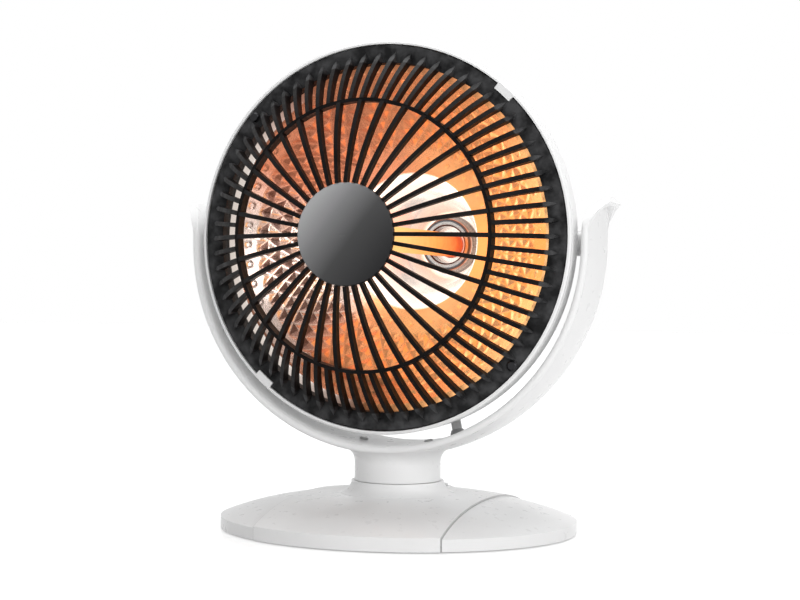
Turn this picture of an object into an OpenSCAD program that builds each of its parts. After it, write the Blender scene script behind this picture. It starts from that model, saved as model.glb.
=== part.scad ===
// Radiant dish heater: a round head with a domed wire guard hangs between the arms of a
// C-shaped yoke, and the yoke turns on an oval foot.
// Millimetres, +Z up, front towards -Y. The origin is on the floor, under the swivel axis.

/* [Stance] */
// Height of the tilt axis above the floor
pivot_z = 182; // [180:0.5:188]
// Height of the head's axis above the tilt axis
axis_rise = 2.7; // [2:0.1:3.4]
// Distance of the grille rim in front of the tilt axis
rim_ahead = 34.8; // [34:0.1:36]

/* [Grille] */
// Outer radius of the grille's rim
grille_r = 120; // [118:0.5:122]
// Width of the flat flange of the rim
flange_w = 11.5; // [10.5:0.5:12.5]
// Thickness of the flange
flange_t = 3; // [2.6:0.2:3.4]
// Depth of the skirt behind the flange
skirt_depth = 5.6; // [4.4:0.2:6]
// Thickness of the skirt
skirt_t = 1.8; // [1.4:0.1:2.2]
// Radius of the sphere that the ribs lie on
dome_r = 140.8; // [138:0.2:144]
// Width of the flange outside the rib tips
tip_margin = 4.7; // [4:0.1:5.4]
// Radius of the inner ring
ring_r = 82.1; // [78:0.5:86]
// Width of the inner ring
ring_w = 2.2; // [1.8:0.1:2.6]
// Depth of the inner ring
ring_depth = 8; // [6:0.5:9]
// Radius of the hub
hub_r = 30.6; // [28:0.2:33]
// Number of long ribs
rib_count = 36; // [30:2:40]
// Width of a long rib at the hub
rib_w_hub = 2.3; // [1.8:0.1:2.6]
// Width of the ribs at the rim
rib_w_rim = 2.8; // [2.4:0.1:3.2]
// Depth of the ribs at the hub
rib_depth_hub = 4.5; // [3.5:0.5:5.5]
// Depth of the ribs at the rim
rib_depth_rim = 8.5; // [7:0.5:9]

/* [Hub cap] */
// Height of the cap's edge
cap_edge = 2.6; // [2:0.2:3.4]
// Rise of the cap's face above its edge
cap_crown = 3.2; // [2:0.2:4]

/* [Bezel] */
// Thickness of the bezel's wall
bezel_wall = 2.1; // [1.8:0.1:2.4]
// Depth of the bezel behind the rim
bezel_depth = 16; // [15.5:0.5:18]
// Depth of the seat that carries the reflector
ledge_at = 11.4; // [11:0.2:12]
// Thickness of that seat
ledge_t = 2; // [1.6:0.2:2.4]
// Inner radius of that seat
ledge_r = 105.5; // [105:0.5:107]
// Height of the two lugs that hold the grille
lug_t = 1.4; // [1:0.1:1.8]
// Reach of a lug over the flange
lug_reach = 3.4; // [2.6:0.2:4]
// Angle that a lug takes up
lug_span = 6; // [4:0.5:8]

/* [Reflector] */
// Radius of the dish's mouth
dish_mouth_r = 104; // [103:0.5:105]
// Width of the flat rim round the mouth
dish_rim_w = 5; // [4:0.5:5]
// Radius of the opening at the bottom of the dish
well_r = 45; // [42:0.5:47]
// Depth of that opening behind the grille rim
dish_depth = 59; // [56:0.5:61]
// Thickness of the sheet
sheet_t = 0.8; // [0.6:0.1:1]
// Depth of the well's floor behind the grille rim
well_depth = 138; // [136:0.5:140]
// Radius of the well's floor
well_floor_r = 22.5; // [21.5:0.5:26]

/* [Element] */
// Radius of the ceramic rod
rod_r = 8.2; // [7.5:0.1:9]
// Distance of the rod's tip behind the grille rim
rod_tip = -4; // [-8:1:6]
// Inner radius of the collar
collar_r_in = 13; // [12:0.2:13.4]
// Outer radius of the collar
collar_r_out = 18.2; // [17:0.2:19]
// Height of the collar
collar_h = 10.6; // [9:0.2:12]
// Radius of the socket
socket_r = 12.5; // [11:0.5:14]
// Length of the socket behind the well
socket_len = 13.6; // [12:0.2:14]
// Width of the bracket
bracket_w = 14; // [12:1:16]
// Distance of the bracket's legs from the axis
bracket_leg_x = 20; // [18:0.5:20.5]
// Thickness of the bracket
bracket_t = 1.2; // [1:0.1:1.5]
// Radius of the thermal cut-off
cutoff_r = 6.2; // [5:0.2:7]
// Height of the thermal cut-off
cutoff_h = 4; // [3:0.2:4.2]

/* [Rear housing] */
// Outer radius of the bowl at its mouth
bowl_r = 117.2; // [116.8:0.1:117.6]
// Depth of the bowl's back behind the grille rim
bowl_depth = 95; // [92:0.5:97]
// Radius of the flat on the bowl's back
bowl_flat_r = 50; // [48:0.5:54]
// Exponent of the bowl's curve, where 2 is an ellipse
bowl_power = 2.2; // [2:0.05:2.4]
// Wall of the bowl
bowl_wall = 2.2; // [2:0.1:2.5]
// Number of vent slots in the bowl's back
vent_count = 24; // [16:2:28]
// Width of a vent slot
vent_w = 4; // [3:0.5:5]
// Radius of the rear cap
rear_cap_r = 47; // [46:0.5:48]
// Length of the rear cap
rear_cap_len = 67; // [66:0.5:72]
// Width of the rear cap's flange
rear_cap_flange = 9; // [8:0.5:10]
// Number of slots round the rear cap
cap_slots = 18; // [12:1:24]

/* [Pivot] */
// Radius of the pivot boss
boss_r = 8; // [7:0.2:8.4]
// Radius of the pivot pin
pin_r = 4; // [3:0.2:4.6]
// Radius of the pivot bush
bush_r = 6; // [5.4:0.1:6.4]
// Length of the pivot bush
bush_len = 14; // [10:0.5:16]
// Thickness of the friction washer
washer_t = 1; // [0.8:0.1:1.1]
// Radius of the pin's head
pin_head_r = 5.6; // [5.2:0.1:5.8]
// Thickness of the pin's head
pin_head_t = 2; // [1.6:0.1:2.2]

/* [Yoke] */
// Gap between the bezel and the yoke
yoke_gap = 4.9; // [4.4:0.1:6]
// Reach of the yoke in front of the tilt axis
yoke_front = 33; // [32:0.5:34]
// Reach of the yoke behind the tilt axis
yoke_rear = 26; // [25:0.5:27]
// Thickness of the raised edge
bead_t = 4.5; // [4:0.1:5]
// Width of the raised edge
bead_w = 4.6; // [4:0.1:5.2]
// Thickness of the yoke at the middle of its face
yoke_t = 7.7; // [7.5:0.1:8.5]
// Radius of the yoke's rounded outer face
face_r = 76; // [72:1:84]
// Wall of the yoke
yoke_wall = 2.2; // [2:0.1:2.3]
// Thickness of the liner
liner_t = 1.6; // [1.4:0.1:1.8]
// Height of the straight stretch above the tilt axis
arm_rise = 6; // [6:0.5:8]
// Height of the arm tips above the tilt axis
tip_rise = 27.5; // [26:0.5:29]
// Radius of the outward curve at the arm tips
flare_r = 27; // [25:0.5:30]

/* [Neck and swivel] */
// Radius of the neck
neck_r = 27.7; // [26:0.1:29]
// Height of the seam between the neck and the foot
seam_z = 31; // [30:0.2:32]
// Radius of the curve where the neck meets the yoke
neck_fillet = 9.5; // [8:0.5:10]
// Radius of the neck's bore
neck_bore_r = 15; // [14.5:0.5:17]
// Thickness of the neck's floor
neck_floor = 3; // [2.5:0.1:3.5]
// Outer radius of the hollow spindle
spindle_r = 8; // [7:0.2:8.6]
// Wall of the spindle
spindle_wall = 2; // [1.5:0.1:2.5]
// Swivel angle to each side
swivel_angle = 45; // [30:1:60]

/* [Foot] */
// Half of the foot's width
base_rx = 115.4; // [112:0.5:120]
// Half of the foot's depth
base_ry = 102.5; // [100:0.5:108]
// Height of the upright lip
lip_z = 9; // [8.6:0.2:10]
// Rise of the foot's top above the lip
crown = 15; // [14.4:0.2:17]
// Distance of the seams from the middle
seam_x = 60; // [56:0.5:64]
// Amount by which the middle stands proud of the wings
wing_step = 1; // [0.6:0.1:1.4]
// Wall of the foot's covers
base_wall = 2.4; // [2:0.1:2.6]
// Height of the rubber feet below the plate
foot_h = 1.2; // [1:0.1:1.6]
// Thickness of the bottom plate
plate_t = 2.5; // [2:0.1:3]
// Radius of a rubber foot
foot_r = 7; // [6:0.5:9]
// Depth of the seat in the plate that holds a rubber foot
foot_seat = 0.8; // [0.6:0.1:1]
// Outer radius of the swivel boss
hub_boss_r = 29.6; // [29.4:0.1:31]
// Radius of the curve round the swivel boss
hub_fillet = 8; // [7:0.2:9]

/* [Controls] */
// Distance of the switch behind the swivel axis
switch_y = 74; // [70:0.5:78]
// Width of the switch's hole
switch_w = 20; // [18:0.5:22]
// Depth of the switch's hole
switch_d = 14; // [13:0.5:15]
// Depth of the switch's housing below the cover
switch_depth = 9; // [8:0.2:9.4]
// Throw of the rocker from side to side
rocker_throw = 14; // [10:1:16]
// Travel of the tip-over plunger
plunger_travel = 3; // [2:0.2:3]
// Radius of the tip-over plunger
plunger_r = 3; // [2.4:0.1:3.4]

/* [Leads] */
// Radius of the lead between head and yoke
lead_r = 3.25; // [2.8:0.05:3.5]
// Radius of the hole for the mains lead
inlet_r = 3.2; // [2.6:0.1:3.3]

/* [Fits] */
// Clearance between parts that slip over each other
slip = 0.3; // [0.2:0.05:0.4]
// Radial clearance of a running fit
run = 0.05; // [0.02:0.01:0.09]
// Width of a seam between covers
seam = 0.3; // [0.2:0.05:0.4]

/* [Hidden] */
$fn = 96;
eps = 0.01;

head_z = pivot_z + axis_rise;
flange_r_in = grille_r - flange_w;
tip_r = grille_r - tip_margin;
dome_back = sqrt(dome_r * dome_r - tip_r * tip_r);
function dome_h(r) = sqrt(dome_r * dome_r - r * r) - dome_back;

// The ribs' back lies on a second sphere, which gives their depth at the hub and at the rim.
back_hub_h = dome_h(hub_r) - rib_depth_hub;
back_rim_h = dome_h(flange_r_in) - rib_depth_rim;
back_c = (hub_r * hub_r + back_hub_h * back_hub_h - flange_r_in * flange_r_in
  - back_rim_h * back_rim_h) / (2 * (back_hub_h - back_rim_h));
back_r = sqrt(hub_r * hub_r + pow(back_hub_h - back_c, 2));

hub_front = dome_h(hub_r);
hub_plate_t = 3.2;
cap_seat = hub_front - cap_edge;

// Screw places on the head: angles from +X, seen from the front.
grille_screw_r = grille_r - 4;
grille_screw_angles = [138, 318];
housing_screw_r = bowl_r - 4.2;
housing_screw_angles = [12, 102, 192, 282];
housing_boss_r = 4;
lug_angles = [47.5, 229];
screw_r = 1.5;
screw_head_r = 3.2;
screw_head_h = 1.7;

bezel_r_in = grille_r + slip;
bezel_r = bezel_r_in + bezel_wall;
ledge_back = ledge_at + ledge_t;
dish_rim_r = dish_mouth_r + dish_rim_w;
dish_rim_at = ledge_at - slip / 2;

// Parabola of the dish through its mouth and the edge of the well.
dish_a = (dish_depth - dish_rim_at + sheet_t) / (dish_mouth_r * dish_mouth_r - well_r * well_r);
function dish_h(r) = -dish_depth + dish_a * (r * r - well_r * well_r);
dish_steps = 12;

collar_front = -well_depth + collar_h;
bowl_mouth = ledge_back + slip;
function bowl_outer(t, inset) = [bowl_flat_r - inset
  + (bowl_r - bowl_flat_r) * pow(1 - pow(t, bowl_power), 1 / bowl_power),
  -bowl_mouth - (bowl_depth - bowl_mouth - inset) * t];
bowl_steps = 20;
bowl_hole_r = rear_cap_r - 3.4;
cap_end = bowl_depth + rear_cap_len;
cap_wall = 2;
cap_screw_r = rear_cap_r + rear_cap_flange / 2;
cap_screw_angles = [30, 150, 270];

yoke_r_in = bezel_r + yoke_gap;
washer_out = sqrt(yoke_r_in * yoke_r_in - boss_r * boss_r) - run;
boss_end = washer_out - washer_t - slip;
boss_start = boss_end - bush_len - 2;
pin_start = boss_end - bush_len + 2;
face_mid = (yoke_front - yoke_rear) / 2;
face_c = yoke_r_in + yoke_t - face_r;
function face_x(y) = face_c + sqrt(face_r * face_r - pow(y - face_mid, 2));
flare_c = yoke_r_in + flare_r;
tip_inset = 0.05;
flare_z = arm_rise - 1;
flare_angle = asin((tip_rise - flare_z) / flare_r);
liner_edge = bead_w + 0.6;
liner_screw_angles = [260, 280];
tongue_ry = (yoke_front + yoke_rear) / 2;
tongue_rz = tip_rise - arm_rise + 1.5;

neck_z = seam_z + slip;
spindle_flange_t = 2;
spindle_screw_ring = 11.6;
spindle_screw_r = 1;
spindle_bottom = 7.6;
washer_stack_z = 14;
plate_z = foot_h;
plate_top = foot_h + plate_t;
plate_inset = 4.2;
cover_z = 0.8;
guide_r = 12.5;
thrust_r = 16;
stop_r = 20;
stop_w = 4;
stop_d = 4.4;
stop_half = swivel_angle + asin(stop_w / 2 / (stop_r - stop_d / 2)) + 1.5;
base_rise = 3;
pillar_r = 3.6;
pilot_top = plate_top + 6;
ballast_h = 6;
foot_stem_r = 2.5;
foot_top_z = lip_z + crown;

function base_top(rho) = lip_z + crown * (1 - pow(rho, base_rise));
switch_rho = switch_y / base_ry;
switch_slope = atan(base_rise * crown * pow(switch_rho, base_rise - 1) / base_ry);
rocker_w = switch_w - 5.6;
rocker_d = switch_d - 4.8;
rocker_axis = 0.6;

screw_spots = [[-92, 0], [92, 0], [-74, -50], [74, -50], [-74, 50], [74, 50],
  [-38, -72], [38, -72], [-40, 66], [40, 66]];
foot_spots = [[-84, -30], [84, -30], [-84, 30], [84, 30], [-20, -82], [20, -82],
  [-20, 84], [20, 84]];
plunger_spot = [34, 30];
terminal_spot = [-42, 34];
inlet_x = -30;
inlet_z = 5.1;

// The lead runs straight from the bowl to the yoke, leaning outwards and forwards.
bowl_gland_at = [34.4, 9.6, 76.5];
lead_lean = [3.6, -3, -13];
lead_way = lead_lean / norm(lead_lean);
lead_gap = 17.1;
yoke_gland_at = bowl_gland_at + lead_gap * lead_way;
lead_in_bowl = 12;
lead_in_yoke = 3.2;
gland_r = lead_r + 1.6;

module head_frame() {
  translate([0, -rim_ahead, head_z]) rotate([90, 0, 0]) children();
}

module yoke_frame() {
  translate([0, 0, pivot_z]) rotate([90, 0, 0]) children();
}

module on_ring(radius, angle, depth) {
  rotate([0, 0, angle]) translate([radius, 0, depth]) children();
}

module pan_screw(radius, head_r, head_h, length) {
  rotate_extrude() difference() {
    union() {
      square([radius, length]);
      translate([0, length - eps]) square([head_r, head_h]);
    }
    translate([head_r, length + head_h]) rotate(45) square(head_h * 0.8, center = true);
  }
}

module toward(point, way) {
  flat = norm([way[0], way[1]]);
  translate(point) rotate([0, atan2(flat, way[2]), atan2(way[1], way[0])]) children();
}

// GRILLE AND HUB
module rib_band() {
  // The seam and poles of each sphere are turned away from the dome.
  difference() {
    translate([0, 0, -dome_back]) rotate([90, 0, 0]) sphere(dome_r);
    translate([0, 0, back_c]) rotate([90, 0, 0]) sphere(back_r);
  }
}

module rib_slab(from_r, w_from, angle) {
  rotate([0, 0, angle]) translate([0, 0, -flange_t + 0.4])
    linear_extrude(hub_front + flange_t + 5)
      polygon([[from_r, -w_from / 2], [tip_r - 4, -rib_w_rim / 2], [tip_r + 0.5, 0],
        [tip_r - 4, rib_w_rim / 2], [from_r, w_from / 2]]);
}

module grille() {
  color("#1b1b1c") head_frame() difference() {
    union() {
      intersection() {
        rib_band();
        union() for (i = [0 : rib_count - 1]) {
          rib_slab(hub_r - 3, rib_w_hub, i * 360 / rib_count);
          rib_slab(ring_r, rib_w_rim - 0.2, (i + 0.5) * 360 / rib_count);
        }
      }
      grille_rings();
    }
    translate([0, 0, cap_seat]) cylinder(r = hub_r + slip / 2, h = 20);
    for (a = grille_screw_angles) on_ring(grille_screw_r, a, -flange_t - 1)
      cylinder(r = screw_r + slip, h = flange_t + 2);
  }
}

module grille_rings() {
  rotate_extrude() {
    translate([flange_r_in, -flange_t]) difference() {
      square([flange_w, flange_t]);
      translate([flange_w, flange_t]) rotate(45) square(1.2, center = true);
    }
    translate([flange_r_in, -flange_t - skirt_depth]) square([skirt_t, skirt_depth + eps]);
    translate([ring_r - ring_w / 2, dome_h(ring_r) - ring_depth]) square([ring_w, ring_depth]);
    translate([0, cap_seat - hub_plate_t]) square([hub_r - 1.2, hub_plate_t]);
  }
}

module hub_cap() {
  sphere_r = (hub_r * hub_r + cap_crown * cap_crown) / (2 * cap_crown);
  color("#3a3b3d") head_frame() translate([0, 0, cap_seat + eps]) intersection() {
    union() {
      cylinder(r = hub_r, h = cap_edge - 0.6);
      translate([0, 0, cap_edge - 0.6]) cylinder(r1 = hub_r, r2 = hub_r - 0.6, h = 0.6);
      translate([0, 0, cap_edge]) cylinder(r = hub_r - 0.6, h = cap_crown);
    }
    translate([0, 0, cap_edge + cap_crown - sphere_r]) sphere(sphere_r, $fn = 240);
  }
}

module grille_screws() {
  length = ledge_at - 1.4;
  color("#111111") head_frame() for (a = grille_screw_angles)
    on_ring(grille_screw_r, a, -length + eps)
      pan_screw(screw_r, screw_head_r, screw_head_h, length);
}

// BEZEL
module bezel_ring() {
  post_r = 3;
  color("#f4f4f4") head_frame() difference() {
    union() {
      rotate_extrude() difference() {
        union() {
          translate([bezel_r_in, -bezel_depth]) square([bezel_wall, bezel_depth + 0.6]);
          translate([ledge_r, -ledge_back]) square([bezel_r - ledge_r - 0.5, ledge_t]);
        }
        translate([bezel_r, 0.6]) rotate(45) square(1.4, center = true);
        translate([bezel_r + 0.5, -3.4]) circle(0.9, $fn = 32);
        translate([bezel_r, -bezel_depth]) rotate(45) square(1, center = true);
      }
      for (a = grille_screw_angles) on_ring(grille_screw_r, a, -ledge_at - eps)
        cylinder(r = post_r, h = ledge_at - flange_t - slip / 2);
      for (a = lug_angles) rotate([0, 0, a]) rotate_extrude(angle = lug_span, start = -lug_span / 2)
        translate([grille_r - lug_reach, slip / 2]) square([lug_reach + slip + 1, lug_t]);
    }
    for (a = grille_screw_angles) on_ring(grille_screw_r, a, -ledge_at + 1)
      cylinder(r = screw_r + run, h = ledge_at);
    for (a = housing_screw_angles) on_ring(housing_screw_r, a, -ledge_back - 1)
      cylinder(r = screw_r + slip, h = ledge_t + 2);
  }
}

// REFLECTOR AND ELEMENT
module reflector() {
  front = [for (i = [0 : dish_steps]) let (r = well_r + (dish_mouth_r - well_r) * i / dish_steps)
    [r, dish_h(r)]];
  back = [for (i = [dish_steps : -1 : 0]) let (r = well_r + (dish_mouth_r - well_r) * i / dish_steps)
    [r, dish_h(r) - sheet_t]];
  rim = [[dish_rim_r, sheet_t - dish_rim_at], [dish_rim_r, -dish_rim_at]];
  color("#e8a06a") head_frame() rotate_extrude() polygon(concat(front, rim, back));
}

module reflector_well() {
  lip = 2.6;
  top = dish_h(well_r) - sheet_t - 0.1;
  lip_top = dish_h(well_r + lip) - sheet_t - 0.1;
  color("#f6d9b8") head_frame() rotate_extrude() difference() {
    polygon([[0, -well_depth - sheet_t], [well_floor_r, -well_depth - sheet_t],
      [well_floor_r + 7, -well_depth + 28], [well_r, top - sheet_t],
      [well_r + lip, lip_top - sheet_t], [well_r + lip, lip_top], [well_r, top],
      [well_r - 0.9, top + 0.4], [0, top + 0.4]]);
    polygon([[rod_r + 1, -well_depth - 2], [rod_r + 1, -well_depth], [well_floor_r - 0.6, -well_depth],
      [well_floor_r + 6.2, -well_depth + 28], [well_r - 0.9, top - 1], [well_r - 0.9, top + 1],
      [-1, top + 1], [-1, -well_depth - 2]]);
  }
}

module element_collar() {
  foot_w = 2.2;
  color("#c9cdd2") head_frame() translate([0, 0, -well_depth + 0.05]) rotate_extrude() difference() {
    union() {
      translate([collar_r_in, 0]) square([collar_r_out - collar_r_in, collar_h]);
      translate([collar_r_in, 0]) square([collar_r_out - collar_r_in + foot_w, 1.4]);
    }
    translate([collar_r_out, collar_h]) rotate(45) square(1.6, center = true);
    translate([collar_r_in, collar_h]) rotate(45) square(1.2, center = true);
  }
}

module ceramic_rod() {
  back = well_depth + socket_len - 4;
  color("#ff6a1e") head_frame() {
    translate([0, 0, -back]) cylinder(r = rod_r, h = back - rod_tip - rod_r * 0.5);
    intersection() {
      translate([0, 0, -rod_tip - rod_r * 1.25]) sphere(rod_r * 1.25);
      translate([0, 0, -rod_tip - rod_r * 0.5 - 1]) cylinder(r = rod_r, h = rod_r);
    }
  }
}

module ceramic_socket() {
  color("#efece4") head_frame() translate([0, 0, -well_depth - sheet_t - socket_len]) difference() {
    union() {
      cylinder(r = socket_r, h = socket_len - 0.1);
      cylinder(r = socket_r + 1.6, h = socket_len / 2);
    }
    translate([0, 0, 4 - sheet_t - 0.2]) cylinder(r = rod_r + run, h = socket_len);
  }
}

module socket_bracket() {
  depth = socket_len + 0.1;
  color("#b9bcc0") head_frame() translate([0, 0, -well_depth - sheet_t - depth]) {
    translate([-bracket_leg_x, -bracket_w / 2, -bracket_t])
      cube([2 * bracket_leg_x, bracket_w, bracket_t]);
    for (s = [-1, 1]) translate([s * (bracket_leg_x - bracket_t / 2) - bracket_t / 2,
      -bracket_w / 2, -bracket_t]) cube([bracket_t, bracket_w, depth + bracket_t - 0.05]);
  }
}

module thermal_cutoff() {
  seat = well_depth + sheet_t + socket_len + 0.1 + bracket_t;
  color("#d8d3c4") head_frame() translate([0, 0, -seat - cutoff_h]) difference() {
    union() {
      cylinder(r = cutoff_r, h = cutoff_h - 0.8);
      translate([0, 0, cutoff_h - 0.8]) cylinder(r = cutoff_r - 1, h = 0.78);
    }
    for (s = [-1, 1]) translate([s * 3, 0, 0.6]) cube([1, 3.4, 1.6], center = true);
  }
}

// REAR HOUSING
module bowl_profile(inset) {
  polygon(concat([[0, -bowl_mouth]],
    [for (i = [0 : bowl_steps]) bowl_outer(sin(90 * i / bowl_steps), 0) - [inset, 0]
      + [0, inset * pow(i / bowl_steps, 2)]],
    [[0, -bowl_depth + inset]]));
}

module rear_housing() {
  vent_from = bowl_flat_r + 13;
  vent_len = 22;
  color("#f1f1f1") difference() {
    union() {
      head_frame() {
        rotate_extrude() difference() {
          bowl_profile(0);
          translate([-eps, eps]) bowl_profile(bowl_wall);
          translate([-1, -bowl_depth - 1]) square([bowl_hole_r + 1, bowl_wall + 2]);
        }
        for (a = housing_screw_angles) on_ring(housing_screw_r, a, -bowl_mouth - 12)
          cylinder(r = housing_boss_r - 0.05, h = 12);
        for (a = cap_screw_angles) on_ring(cap_screw_r, a, -bowl_depth + 1)
          cylinder(r = 3.4, h = 8);
      }
      yoke_frame() for (s = [0, 1]) mirror([s, 0, 0]) translate([boss_start, 0, 0])
        rotate([0, 90, 0]) cylinder(r = boss_r, h = boss_end - boss_start);
    }
    head_frame() {
      for (a = housing_screw_angles) on_ring(housing_screw_r, a, -bowl_mouth - 11)
        cylinder(r = screw_r + run, h = 12);
      for (a = cap_screw_angles) on_ring(cap_screw_r, a, -bowl_depth - 1)
        cylinder(r = screw_r + run, h = 8);
      for (i = [0 : vent_count - 1]) rotate([0, 0, (i + 0.5) * 360 / vent_count])
        translate([vent_from, -vent_w / 2, -bowl_depth - 1]) cube([vent_len, vent_w, 22]);
    }
    yoke_frame() for (s = [0, 1]) mirror([s, 0, 0]) translate([boss_start - 1, 0, 0])
      rotate([0, 90, 0]) cylinder(r = bush_r + run, h = boss_end - boss_start + 2);
    toward(bowl_gland_at, lead_way) translate([0, 0, -12]) cylinder(r = gland_r + run, h = 24);
  }
}

module rear_cap() {
  round_r = 9;
  slot_w = 4;
  slot_len = rear_cap_len - round_r - 22;
  color("#ededed") head_frame() difference() {
    rotate_extrude() difference() {
      union() {
        translate([0, -cap_end]) square([rear_cap_r - round_r, rear_cap_len]);
        translate([0, -cap_end + round_r]) square([rear_cap_r, rear_cap_len - round_r - 0.1]);
        translate([rear_cap_r - round_r, -cap_end + round_r]) circle(round_r);
        translate([0, -bowl_depth - cap_wall - 0.1]) square([rear_cap_r + rear_cap_flange, cap_wall]);
      }
      translate([-1, -cap_end + round_r]) square([rear_cap_r - cap_wall + 1, rear_cap_len]);
      translate([-1, -cap_end + cap_wall]) square([rear_cap_r - round_r + 1, rear_cap_len]);
      translate([rear_cap_r - round_r, -cap_end + round_r]) circle(round_r - cap_wall);
    }
    for (i = [0 : cap_slots - 1]) rotate([0, 0, (i + 0.5) * 360 / cap_slots])
      translate([rear_cap_r - 5, -slot_w / 2, -cap_end + round_r + 8]) cube([10, slot_w, slot_len]);
    for (i = [0 : cap_slots - 1]) rotate([0, 0, (i + 0.5) * 360 / cap_slots])
      translate([14, -1.5, -cap_end - 1]) cube([20, 3, cap_wall + 2]);
    for (a = cap_screw_angles) on_ring(cap_screw_r, a, -bowl_depth - 5)
      cylinder(r = screw_r + slip, h = 6);
  }
}

module housing_screws() {
  length = 10;
  color("#a7abb0") head_frame() for (a = housing_screw_angles)
    on_ring(housing_screw_r, a, -ledge_at - length + eps)
      pan_screw(screw_r, screw_head_r - 0.2, screw_head_h - 0.3, length);
}

module cap_screws() {
  length = 7;
  color("#a7abb0") head_frame() for (a = cap_screw_angles)
    on_ring(cap_screw_r, a, -bowl_depth - cap_wall - 0.1 + length) rotate([180, 0, 0])
      pan_screw(screw_r, screw_head_r - 0.2, screw_head_h, length + eps);
}

// PIVOT
module at_pivots() {
  yoke_frame() for (s = [0, 1]) mirror([s, 0, 0]) rotate([0, 90, 0]) children();
}

module pivot_bushes() {
  color("#d9d6cc") at_pivots() translate([0, 0, boss_end - bush_len]) difference() {
    cylinder(r = bush_r, h = bush_len);
    translate([0, 0, -1]) cylinder(r = pin_r + run, h = bush_len + 2);
  }
}

module friction_washers() {
  color("#8d8f92") at_pivots() translate([0, 0, washer_out - washer_t]) difference() {
    cylinder(r = boss_r - 0.2, h = washer_t);
    translate([0, 0, -1]) cylinder(r = pin_r + run, h = washer_t + 2);
  }
}

module pivot_pins() {
  color("#9ea3a8") at_pivots() {
    translate([0, 0, pin_start]) cylinder(r = pin_r, h = yoke_r_in + liner_t - pin_start + 0.2);
    translate([0, 0, yoke_r_in + liner_t + 0.1]) cylinder(r = pin_head_r, h = pin_head_t);
  }
}

// YOKE
// The section's x is the distance from the swing centre, and its y points forward.
module yoke_sweep(rise) {
  yoke_frame() {
    rotate_extrude(angle = 180, start = 180) children();
    for (s = [0, 1]) mirror([s, 0, 0]) upright(rise) children();
  }
}

module upright(rise) {
  rotate([90, 0, 0]) translate([0, 0, -rise]) linear_extrude(rise) children();
}

// The flare starts inside the upright and is a hair thinner all round.
module flare() {
  translate([flare_c, flare_z, 0]) rotate_extrude(angle = flare_angle, start = 180 - flare_angle)
    translate([flare_c, 0]) mirror([1, 0]) children();
}

// Side view of the arm, a tongue with a round end, less an inset all round.
module tongue(inset) {
  mid = -face_mid;
  turn = pivot_z + arm_rise - 1.5;
  rotate([90, 0, 90]) translate([0, 0, -220]) linear_extrude(440)
    polygon(concat([[mid - tongue_ry + inset, 0]], [[mid + tongue_ry - inset, 0]],
      [for (i = [0 : 24]) [mid + (tongue_ry - inset) * cos(180 * i / 24),
        turn + (tongue_rz - inset) * sin(180 * i / 24)]]));
}

module bead_section(inset) {
  half = bead_t / 2;
  translate([yoke_r_in + inset, yoke_front - bead_w]) square([bead_t - 2 * inset, bead_w - half]);
  translate([yoke_r_in + half, yoke_front - half]) circle(half - inset, $fn = 48);
}

// The raised edge round the tip thins towards the back.
module strap_section(inset) {
  near = yoke_r_in + inset;
  far = yoke_r_in + bead_t - inset;
  rear = inset - yoke_rear;
  polygon([[near, rear], [face_x(-yoke_rear) + 0.1 - inset, rear],
    [face_x(5 - yoke_rear) + 0.1 - inset, 5 - yoke_rear], [far, 0],
    [far, yoke_front - bead_w], [near, yoke_front - bead_w]]);
  bead_section(inset);
}

module face_section() {
  intersection() {
    translate([face_c, face_mid]) circle(face_r, $fn = 360);
    translate([yoke_r_in, -yoke_rear]) square([yoke_t + 1, yoke_front + yoke_rear - bead_w + eps]);
  }
}

module hollow_section() {
  intersection() {
    translate([face_c, face_mid]) circle(face_r - yoke_wall, $fn = 360);
    translate([yoke_r_in - 2, -yoke_rear + liner_edge])
      square([yoke_t + 2, yoke_front + yoke_rear - 2 * liner_edge]);
  }
  translate([yoke_r_in - 2, -yoke_rear + liner_edge])
    square([liner_t + 2 + run, yoke_front + yoke_rear - 2 * liner_edge]);
}

module liner_section() {
  translate([yoke_r_in, -yoke_rear + liner_edge + run])
    square([liner_t, yoke_front + yoke_rear - 2 * (liner_edge + run)]);
}

module yoke_body() {
  face_rise = tip_rise - bead_w + 2;
  yoke_frame() rotate_extrude(angle = 180, start = 180) {
    bead_section(0);
    face_section();
  }
  difference() {
    intersection() {
      yoke_frame() for (s = [0, 1]) mirror([s, 0, 0]) {
        upright(arm_rise) strap_section(0);
        flare() strap_section(tip_inset);
      }
      tongue(-slip);
    }
    tongue(bead_w);
  }
  intersection() {
    yoke_frame() for (s = [0, 1]) mirror([s, 0, 0]) {
      upright(arm_rise) face_section();
      intersection() {
        upright(face_rise) face_section();
        translate([flare_c, flare_z, -100]) cylinder(r = flare_r - 3 * tip_inset, h = 200);
      }
    }
    tongue(bead_w - 0.4);
  }
}

module neck() {
  fillet_r_out = neck_r + neck_fillet;
  fillet_z = pivot_z - sqrt(pow(yoke_r_in + yoke_t - 1, 2) - fillet_r_out * fillet_r_out)
    - neck_fillet - 0.8;
  difference() {
    union() {
      translate([0, 0, neck_z]) cylinder(r = neck_r, h = 24);
      intersection() {
        rotate_extrude() difference() {
          translate([0, fillet_z]) square([fillet_r_out, neck_fillet + 3]);
          translate([fillet_r_out, fillet_z]) circle(neck_fillet);
        }
        translate([-60, -yoke_front + 0.6, 0]) cube([120, yoke_front + yoke_rear - 0.6, 80]);
      }
      rotate([0, 0, -90]) rotate_extrude(angle = 2 * asin(stop_w / 2 / stop_r),
        start = -asin(stop_w / 2 / stop_r))
        translate([stop_r - stop_d / 2, neck_z - 2.6]) square([stop_d, 3]);
    }
    yoke_frame() translate([0, 0, -60]) cylinder(r = yoke_r_in + liner_t, h = 120);
  }
}

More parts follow.
